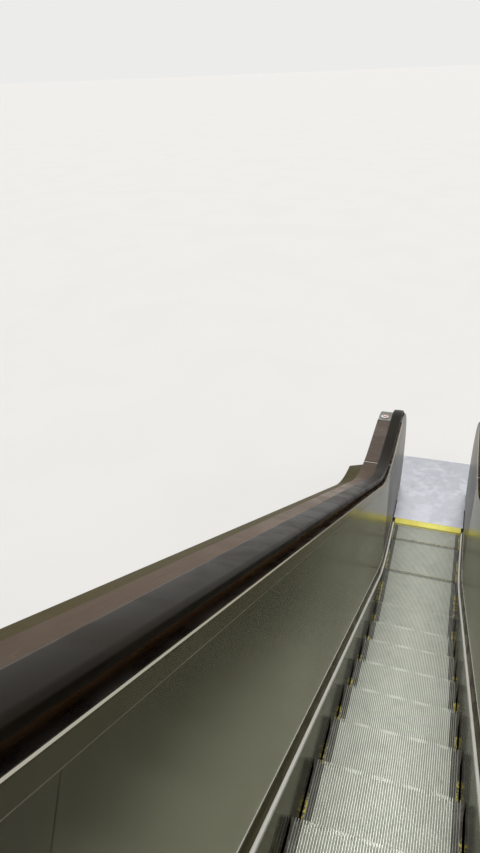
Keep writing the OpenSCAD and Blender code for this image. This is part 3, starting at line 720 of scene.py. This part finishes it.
cheek = {
    "x": 0.236,
    "thick": 0.010,
    "gap": 0.010,
    "front": (0.030, 0.070, -0.150),  # y at the top, then y and z of the knee
    "rear": (0.010, -0.060),
    "foot": (0.030, 0.020),  # beside and below the roller's centre
    "rollerY": 0.200,
    "rollerDrop": 0.190,
    "rollerRadius": 0.038,
    "rollerWidth": 0.022,
    "rollerPoints": 28,
    "rollerRings": ((0.0, 0.55), (0.0, 1.0), (0.25, 1.0), (0.25, 0.94),
                    (0.75, 0.94), (0.75, 1.0), (1.0, 1.0), (1.0, 0.55)),
}


# Side plates and rollers of a step that hangs clear of the base pan
def cheekShape(n):
    y0, z0 = nosing(n)
    hub, drop, count = y0 + cheek["rollerY"], cheek["rollerDrop"], cheek["rollerPoints"]
    top, foot = z0 - step["cleatHeight"] - cheek["gap"], z0 - drop - cheek["foot"][1]
    rear = y0 + step["tread"] - cheek["rear"][0]
    outline = [(y0 + cheek["front"][0], top), (rear, top), (rear, z0 + cheek["rear"][1]),
               (hub + cheek["foot"][0], foot), (hub - cheek["foot"][0], foot),
               (y0 + cheek["front"][1], z0 + cheek["front"][2])]
    parts = []
    for side in (-1, 1):
        outer = cheek["x"] + cheek["thick"]
        parts.append(prismShape(outline, side * cheek["x"], side * outer, mark["groove"]))
        verts = []
        for across, reach in cheek["rollerRings"]:
            x = side * (outer + across * cheek["rollerWidth"])
            points = roundPoints(reach * cheek["rollerRadius"], count)
            verts += [(x, hub + y, z0 - drop + z) for y, z in points]
        faces = ringFaces(len(cheek["rollerRings"]), count)
        marks = [mark["roller"]] * (len(faces) - 2) + [mark["groove"]] * 2
        parts.append((verts, faces, marks))
    return joinLists(parts)


for node, (first, last) in step["groups"].items():
    shapes = [stepShape(n) for n in range(first, last + 1)]
    shapes += [cheekShape(n) for n in range(max(first, 1), last + 1)]
    piece = newPiece("cleated_" + node, joinLists(shapes), stepMaterials.values())
    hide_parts(node)
    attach(piece, "root")

print("stage: combs")
comb = {
    "depth": 0.090,
    "tooth": 0.020,
    "lip": 0.007,
    "toothRows": ((-0.032, 0.0021, 0.0012), (-0.020, 0.0021, 0.0), (-0.011, 0.001932, 0.0040),
                  (-0.003, 0.0015, 0.0104), (0.0, 0.00075, 0.0116)),
    "toothBelow": 0.004,
    "toothRound": 0.0006,
    "toothFlat": 0.6,
    "edgeRound": 0.0015,
    "edgeShare": 0.3,
    "frontSlope": (0.004, 0.0008),
    "segments": 3,
    "sideGap": 0.001,
    "jointGapAndSocketShade": 0.0003,
    "screwY": -0.062,
    "screwShares": (0.2, 0.8),
    "screwRadius": 0.0055,
}


# Turns a point of the lower end round for the upper end
def atEnd(end, point):
    x, y, z = point
    return (x, y, z) if end == 0 else (x, highComb - y, z + rise)


# A tooth of the comb, by rows of y, half width and depth under the floor
def toothShape(x):
    low = line["floor"] - step["drop"] - comb["toothBelow"]
    verts = []
    for y, w, sunk in comb["toothRows"]:
        top, flat = line["floor"] - sunk, w * comb["toothFlat"]
        side = top - comb["toothRound"]
        outline = ((-w, low), (-w, side), (-flat, top), (flat, top), (w, side), (w, low))
        verts += [(x + across, y, z) for across, z in outline]
    return verts, ringFaces(len(comb["toothRows"]), len(outline))


# One comb segment: a plate with a rounded rear edge
def segmentShape(x0, x1):
    top, r, slope = line["floor"], comb["edgeRound"], comb["frontSlope"]
    y0, y1, low = -comb["depth"], -comb["tooth"], line["floor"] - comb["lip"]
    share = r * comb["edgeShare"]
    outline = [(y0, low), (y0, top - r), (y0 + share, top - share), (y0 + r, top), (y1 - slope[0], top),
               (y1, top - slope[1]), (y1, low)]
    return prismShape(outline, x0, x1)


combHalf = line["skirtX"] - comb["sideGap"]
segmentWidth = 2 * combHalf / comb["segments"]
for end, node in enumerate(("lower_combs", "upper_combs")):
    parts = []
    for k in range(comb["segments"]):
        x = -combHalf + k * segmentWidth
        parts.append(segmentShape(x + comb["jointGapAndSocketShade"], x + segmentWidth - comb["jointGapAndSocketShade"]))
    for i in range(step["cleats"] - 1):
        x = -step["width"] / 2 + step["cleatWidth"] / 2 + (i + 0.5) * cleatPitch
        parts.append(toothShape(x))
    verts, faces, _ = joinLists(parts)
    piece = newPiece("toothed_" + node, ([atEnd(end, v) for v in verts], faces), [paint["combYellow"]])
    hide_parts(node)
    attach(piece, "root")
    heads = []
    for k in range(comb["segments"]):
        for share in comb["screwShares"]:
            x = -combHalf + (k + share) * segmentWidth
            place = atEnd(end, (x, comb["screwY"], line["floor"]))
            heads.append(screwHead(place, (0, 0, 1), comb["screwRadius"]))
    piece = newPiece(node + "_screws", joinLists(heads), screwFinish)
    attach(piece, "root")

print("stage: handrails")
rail = {
    "height": 1.000,
    "x": 0.352,
    "width": 0.080,
    "thick": 0.028,
    "rubber": 0.008,
    "topRound": 0.012,
    "lipRound": 0.008,
    "crown": 0.0014,
    "cornerCuts": 8,
    "slotGap": 0.002,
    "lipReach": 0.011,
    "noseRadius": 0.500,
    "noseEnd": math.radians(80),
    "noseCuts": 20,
    "crease": math.radians(42),
}


def railProfile():
    half, t, a, b = rail["width"] / 2, rail["thick"], rail["topRound"], rail["lipRound"]
    corner, cuts = [], rail["cornerCuts"]
    for x, h, r, start in ((half - b, b - t, b, 270), (half - a, -a - rail["crown"], a, 0)):
        for i in range(cuts + 1):
            turn = math.radians(start + 90 * i / cuts)
            corner.append((x + r * math.cos(turn), h + r * math.sin(turn)))
    crown = []
    for i in range(1, cuts):
        x = (half - a) * (1 - 2 * i / cuts)
        crown.append((x, -rail["crown"] * (x / (half - a)) ** 2))
    r = rail["rubber"]
    slot, mouth = half - r - rail["slotGap"], half - r - rail["lipReach"]
    inside = [(-mouth, -t), (-mouth, -t + r), (-slot, -t + r), (-slot, -r)]
    return (corner + crown + [(-x, h) for x, h in reversed(corner)] + inside
            + [(-x, h) for x, h in reversed(inside)])


def railPath():
    reach, run, cuts = rail["noseRadius"], line["newelRun"], rail["noseCuts"]
    low = line["floor"] + rail["height"] - reach
    nose = []
    for i in range(cuts + 1):
        a = rail["noseEnd"] * i / cuts
        nose.append((reach * math.sin(a), low + reach * math.cos(a), a))
    start = [(-run - y, z, a) for y, z, a in reversed(nose)]
    end = [(highComb + run + y, z + rise, -a) for y, z, a in nose]
    middle = deckPath(rail["height"], -run, highComb + run)
    return start + middle[1:-1] + end


for side, name in ((-1, "left"), (1, "right")):
    profile = [(rail["x"] + x, h) for x, h in railProfile()]
    shape = sweep(railPath(), profile, side)
    piece = newPiece("smooth_handrail_" + name, shape, [moulded["handrailRubber"]], smooth=True)
    crease = piece.modifiers.new("edges", "EDGE_SPLIT")
    crease.split_angle = rail["crease"]
    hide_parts("handrail_" + name)
    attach(piece, "root")

print("stage: joints and screws")
deckJoints = {
    "y": (0.575, highComb - 0.575),
    "width": 0.004,
    "height": 0.955,
    "profile": [(0.2953, -0.0090), (0.2953, -0.0024), (0.2988, 0.0011), (0.4880, 0.0011), (0.4998, 0.0008),
                (0.4998, -0.0010), (0.2990, -0.0010), (0.2968, -0.0032), (0.2968, -0.0090)],
}


# Cover strips over the joints of the outer deck, near white: a painted highlight
def deckStrip(y, side):
    path = deckPath(deckJoints["height"], -line["newelRun"], highComb + line["newelRun"])
    y, z, a = pathAt(path, y)
    half = deckJoints["width"] / 2
    ends = [(y + s * half * math.cos(a), z + s * half * math.sin(a), a) for s in (-1, 1)]
    return sweep(ends, deckJoints["profile"], side)


strips = joinLists([deckStrip(y, side) for y in deckJoints["y"] for side in (-1, 1)])
piece = newPiece("deck_joint_strips", strips, [sheetMetal["paintedHighlightTrim"]])
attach(piece, "root")

# Thin beads along the panels and the inner decks, by profile points (x, height)
beads = {
    "panel_seam_bead": {
        "finish": "bead", "path": deckPath, "height": 0.911,
        "profile": [(0.2982, -0.0006), (0.2980, 0.0), (0.2982, 0.0006), (0.3000, 0.0006),
                    (0.3000, -0.0006)],
    },
    # Near white: a painted highlight line along the foot of the panels
    "inner_deck_bead": {
        "finish": "paintedHighlightTrim", "path": skirtPath, "height": 0.070,
        "profile": [(0.2986, -0.0006), (0.2982, 0.0003), (0.2988, 0.0011), (0.3000, 0.0011),
                    (0.3000, -0.0006)],
    },
}
for name, bead in beads.items():
    path = [point for point in bead["path"](bead["height"], 0.0, highComb) if 0.0 <= point[0] <= highComb]
    shape = joinLists([sweep(path, bead["profile"], side) for side in (-1, 1)])
    piece = newPiece(name, shape, [sheetMetal[bead["finish"]]])
    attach(piece, "root")

# Metal fillers with dark seals beside the comb plates, by outlines of (x, z)
sideFiller = {
    "back": -0.3598,
    "front": -0.0903,
    "metal": [(0.2791, 0.0205), (0.2791, 0.0493), (0.2797, 0.0500), (0.2936, 0.0500), (0.2942, 0.0493),
              (0.2942, 0.0205)],
    "seal": [(0.2942, 0.0205), (0.2942, 0.0462), (0.2956, 0.0474), (0.2988, 0.0474), (0.2999, 0.0462),
             (0.2999, 0.0205)],
}


def fillerShape(end, side, outline, index):
    ends = (sideFiller["back"], sideFiller["front"])
    verts = [atEnd(end, (side * x, y, z)) for y in ends for x, z in outline]
    faces = ringFaces(2, len(outline))
    return verts, faces, [index] * len(faces)


fillers = [fillerShape(end, side, sideFiller[kind], i) for end in (0, 1) for side in (-1, 1)
           for i, kind in enumerate(("metal", "seal"))]
fillerFinish = [sheetMetal["floorPlate"], moulded["inletRubber"]]
piece = newPiece("comb_side_fillers", joinLists(fillers), fillerFinish)
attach(piece, "root")

# White domed caps in the middle of the stop buttons
cap = {
    "x": 0.4505,
    "angle": math.radians(6),
    "newelTop": 0.955,
    "newelRadius": 0.600,
    "stand": 0.0112,
    "radius": 0.0100,
    "points": 32,
    "dome": ((1.0, -0.0004), (1.0, 0.0006), (0.92, 0.0012), (0.70, 0.0017), (0.40, 0.0020), (0.12, 0.0021)),
}


def capShape(end, side):
    tilt, verts = cap["angle"], []
    for share, up in cap["dome"]:
        reach = cap["newelRadius"] + cap["stand"] + up
        back = line["newelRun"] + reach * math.sin(tilt)
        top = line["floor"] + cap["newelTop"] - cap["newelRadius"] + reach * math.cos(tilt)
        for across, along in roundPoints(share * cap["radius"], cap["points"]):
            y, z = along * math.cos(tilt) - back, top + along * math.sin(tilt)
            verts.append(atEnd(end, (side * (cap["x"] + across), y, z)))
    return verts, ringFaces(len(cap["dome"]), cap["points"])


caps = joinLists([capShape(0, 1), capShape(1, -1)])
piece = newPiece("stop_button_caps", caps, [moulded["collarPlastic"]])
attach(piece, "root")

skirtJoints = {
    "first": 1.45,
    "spacing": 1.560,
    "last": highCorner + 0.3,
    "width": 0.0016,
    "thick": 0.0005,
    "sunk": 0.0002,
    "depth": 0.16,
    "screwSunk": 0.0001,
    "screwBeside": 0.03,
    "screwDrops": (0.03, 0.12),
    "screwRadius": 0.0042,
}


# Butt joints and screws of the skirts
def skirtDetails():
    gaps, heads = [], []
    path = skirtPath(0.0, 0.0, highComb)
    half, beside = skirtJoints["width"] / 2, skirtJoints["screwBeside"]
    y = skirtJoints["first"]
    while y < skirtJoints["last"]:
        _, z, a = pathAt(path, y)
        low = z - skirtJoints["depth"]
        outline = [(y - half, low), (y + half, low), (y + half, z), (y - half, z)]
        for side in (-1, 1):
            x = side * (line["skirtX"] - skirtJoints["sunk"])
            gaps.append(prismShape(outline, x, x + side * skirtJoints["thick"]))
            x = side * (line["skirtX"] - skirtJoints["screwSunk"])
            for dy in (-beside, beside):
                for drop in skirtJoints["screwDrops"]:
                    place = (x, y + dy, z - drop + dy * math.tan(a))
                    heads.append(screwHead(place, (-side, 0, 0), skirtJoints["screwRadius"]))
        y += skirtJoints["spacing"] * math.cos(line["slope"])
    return joinLists(gaps), joinLists(heads)


skirtGaps, skirtHeads = skirtDetails()
piece = newPiece("skirt_joints", skirtGaps, [jointGapAndSocketShade])
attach(piece, "root")
piece = newPiece("skirt_screws", skirtHeads, screwFinish)
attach(piece, "root")

plateScrews = {
    "places": ((0.22, -1.105), (0.22, -0.400), (0.555, -1.105), (0.555, -0.400), (0.25, -0.335)),
    "radius": 0.007,
}


def plateHeads():
    heads = []
    for end in (0, 1):
        for x, y in plateScrews["places"]:
            for side in (-1, 1):
                place = atEnd(end, (side * x, y, line["floor"]))
                heads.append(screwHead(place, (0, 0, 1), plateScrews["radius"]))
    return joinLists(heads)


piece = newPiece("floor_plate_screws", plateHeads(), screwFinish)
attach(piece, "root")

print("stage: cladding details")
cladding = {
    "x": 0.5972,
    "thick": 0.0018,
    "joints": (2.1, 3.6, 5.1, 6.6, 8.1),
    "halfWidth": 0.014,
    "chamfer": 0.0012,
    "edgeHeight": 0.034,
    "top": 0.866,
    "end": highComb - 0.600,
    "foot": 2.6685,
    "corner": 7.0722,
    "low": 0.0203,
    "underHigh": highZ - 0.9467,
    "front": 0.6010,
    "back": 9.1550,
    "plateLow": highZ - 0.0310,
    "underLift": 0.002,
    "barFace": 0.0006,
    "within": 0.001,
    "screwEnds": (0.06, 0.03),
    "screwEvery": 0.30,
    "screwRadius": 0.0042,
}


# Height of the side cladding's lower and upper edge at a given y
def claddingLow(y):
    if y < cladding["foot"]:
        return cladding["low"]
    if y < cladding["corner"]:
        return (y - cladding["foot"]) * math.tan(line["slope"]) + cladding["underLift"]
    return cladding["underHigh"]


def claddingTop(y):
    if y > cladding["end"]:
        return cladding["plateLow"]
    return pathAt(deckPath(cladding["top"], 0.0, highComb), y)[1]


# Flat bar with chamfered edges over an outline of (y, z), on one side
def barShape(outline, side):
    count = len(outline)
    middleY, middleZ = (sum(values) / count for values in zip(*outline))
    inset = []
    for y, z in outline:
        away = Vector((middleY - y, middleZ - z)).normalized() * cladding["chamfer"]
        inset.append((y + away.x, z + away.y))
    x0, x1 = cladding["x"], cladding["x"] + cladding["thick"]
    rings = ((x0, outline), (x1 - cladding["barFace"], outline), (x1, inset))
    verts = [(side * x, y, z) for x, ring in rings for y, z in ring]
    return verts, ringFaces(len(rings), count)


def claddingBars():
    bars, heads = [], []
    h, w = cladding["edgeHeight"], cladding["halfWidth"]
    steep = h / math.cos(line["slope"])
    above, below = cladding["screwEnds"]
    bends = [cladding[name] for name in ("front", "foot", "corner", "back")]
    for side in (-1, 1):
        places = []
        for y in cladding["joints"]:
            y0, y1 = y - w, y + w
            z0, z1 = claddingLow(y0) + steep, claddingLow(y1) + steep
            bars.append(barShape([(y0, z0), (y1, z1), (y1, claddingTop(y1)), (y0, claddingTop(y0))], side))
            z = max(z0, z1) + above
            while z < claddingTop(y0) - below:
                places += [(y - w / 2, z), (y + w / 2, z)]
                z += cladding["screwEvery"]
        for y0, y1, lift in zip(bends, bends[1:], (h, steep, h)):
            z0, z1 = claddingLow(y0), claddingLow(y1 - cladding["within"])
            bars.append(barShape([(y0, z0), (y1, z1), (y1, z1 + lift), (y0, z0 + lift)], side))
            count = int((y1 - y0) / cladding["screwEvery"])
            for i in range(count):
                t = (i + 0.5) / count
                places.append((y0 + (y1 - y0) * t, z0 + (z1 - z0) * t + h / 2))
        face = side * (cladding["x"] + cladding["thick"])
        heads += [screwHead((face, y, z), (side, 0, 0), cladding["screwRadius"]) for y, z in places]
    return joinLists(bars), joinLists(heads)


coverBars, coverHeads = claddingBars()
piece = newPiece("cladding_cover_bars", coverBars, [sheetMetal["coverBar"]])
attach(piece, "root")
piece = newPiece("cladding_screws", coverHeads, screwFinish)
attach(piece, "root")

bolt = {
    "x": (-0.42, -0.25, -0.08, 0.08, 0.25, 0.42),
    "drop": 0.115,
    "face": 9.1706,
    "points": 24,
    "rings": ((0.020, 0.0, False), (0.020, 0.002, False), (0.012, 0.002, True), (0.012, 0.010, True),
              (0.01116, 0.011, False)),
}


# Hexagon bolts with washers on the bearing angle
def boltShape(x):
    verts = []
    for radius, up, hexed in bolt["rings"]:
        points = roundPoints(radius, bolt["points"], hexed)
        verts += [(x + across, bolt["face"] + up, highZ - bolt["drop"] + z) for across, z in points]
    return verts, ringFaces(len(bolt["rings"]), bolt["points"])


bolts = joinLists([boltShape(x) for x in bolt["x"]])
piece = newPiece("bearing_bolts", bolts, [sheetMetal["galvanised"]])
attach(piece, "root")

print("stage: floor, light and camera")
stageLook = {
    "floor": (0.80, 0.795, 0.78),
    "shade": 0.985,
    "size": 400.0,
    "sky": (0.84, 0.84, 0.83),
    "lightColour": (1.0, 0.98, 0.95),
    "light": 0.50,
}


def makeFloor():
    material, tree, shader = newMaterial("paleFloor")
    film = useGroup(tree, smudgeGroup, Scale=0.8)
    shade = tuple(c * stageLook["shade"] for c in stageLook["floor"])
    feed(tree, shader, {"Base Color": mixBy(tree, film, stageLook["floor"], shade), "Roughness": 0.85})
    s = stageLook["size"] / 2
    corners = [(-s, -s, 0), (s, -s, 0), (s, s, 0), (-s, s, 0)]
    floor = newPiece("studio_floor", (corners, [(0, 1, 2, 3)]), [material])


makeFloor()


# Pale for the camera and for reflections, plain light otherwise
def makeWorld():
    world = bpy.data.worlds.new("studio")
    scene.world = world
    world.use_nodes = True
    tree = world.node_tree
    tree.nodes.clear()
    seen = addNode(tree, "Background", {"Color": (*stageLook["sky"], 1)})
    glow = {"Color": (*stageLook["lightColour"], 1), "Strength": stageLook["light"]}
    light = addNode(tree, "Background", glow)
    rays = addNode(tree, "LightPath").outputs
    either = combine(tree, "MAXIMUM", rays["Is Camera Ray"], rays["Is Glossy Ray"])
    direct = combine(tree, "MAXIMUM", either, rays["Is Transmission Ray"])
    mix = addNode(tree, "MixShader", {"Fac": direct, 1: light.outputs[0], 2: seen.outputs[0]})
    addNode(tree, "OutputWorld", {"Surface": mix.outputs[0]})


makeWorld()

# One large soft lamp overhead, leaning towards the lower landing
lamp = {"power": 1.9, "spread": math.radians(34), "place": (0.0, -3.0, 9.0), "aim": (0.0, 0.5, 0.0)}


def makeLamp():
    data = bpy.data.lights.new("overhead", "SUN")
    data.energy = lamp["power"]
    data.angle = lamp["spread"]
    sun = bpy.data.objects.new("overhead", data)
    sun.location = lamp["place"]
    sun.rotation_euler = (Vector(lamp["aim"]) - sun.location).to_track_quat("-Z", "Y").to_euler()
    scene.collection.objects.link(sun)


makeLamp()

view = {
    "place": (-0.0374, 4.6455, 3.6494),
    "forward": (0.3015, -0.8150, -0.4948),
    "roll": math.radians(-2.7145),
    "focalPixels": 643.0,
    "imageHeight": 853.0,
    "sensor": 36.0,
}


def makeCamera():
    f = Vector(view["forward"]).normalized()
    right = f.cross(Vector((0, 0, 1))).normalized()
    up = right.cross(f)
    c, s = math.cos(view["roll"]), math.sin(view["roll"])
    turn = Matrix((c * right + s * up, c * up - s * right, -f)).transposed().to_4x4()
    data = bpy.data.cameras.new("photoView")
    data.sensor_fit = "VERTICAL"
    data.sensor_height = view["sensor"]
    data.lens = view["focalPixels"] / view["imageHeight"] * view["sensor"]
    data.clip_start = 0.02
    camera = bpy.data.objects.new("photoView", data)
    camera.matrix_world = Matrix.Translation(view["place"]) @ turn
    scene.collection.objects.link(camera)
    scene.camera = camera


makeCamera()
scene.view_settings.view_transform = "Standard"
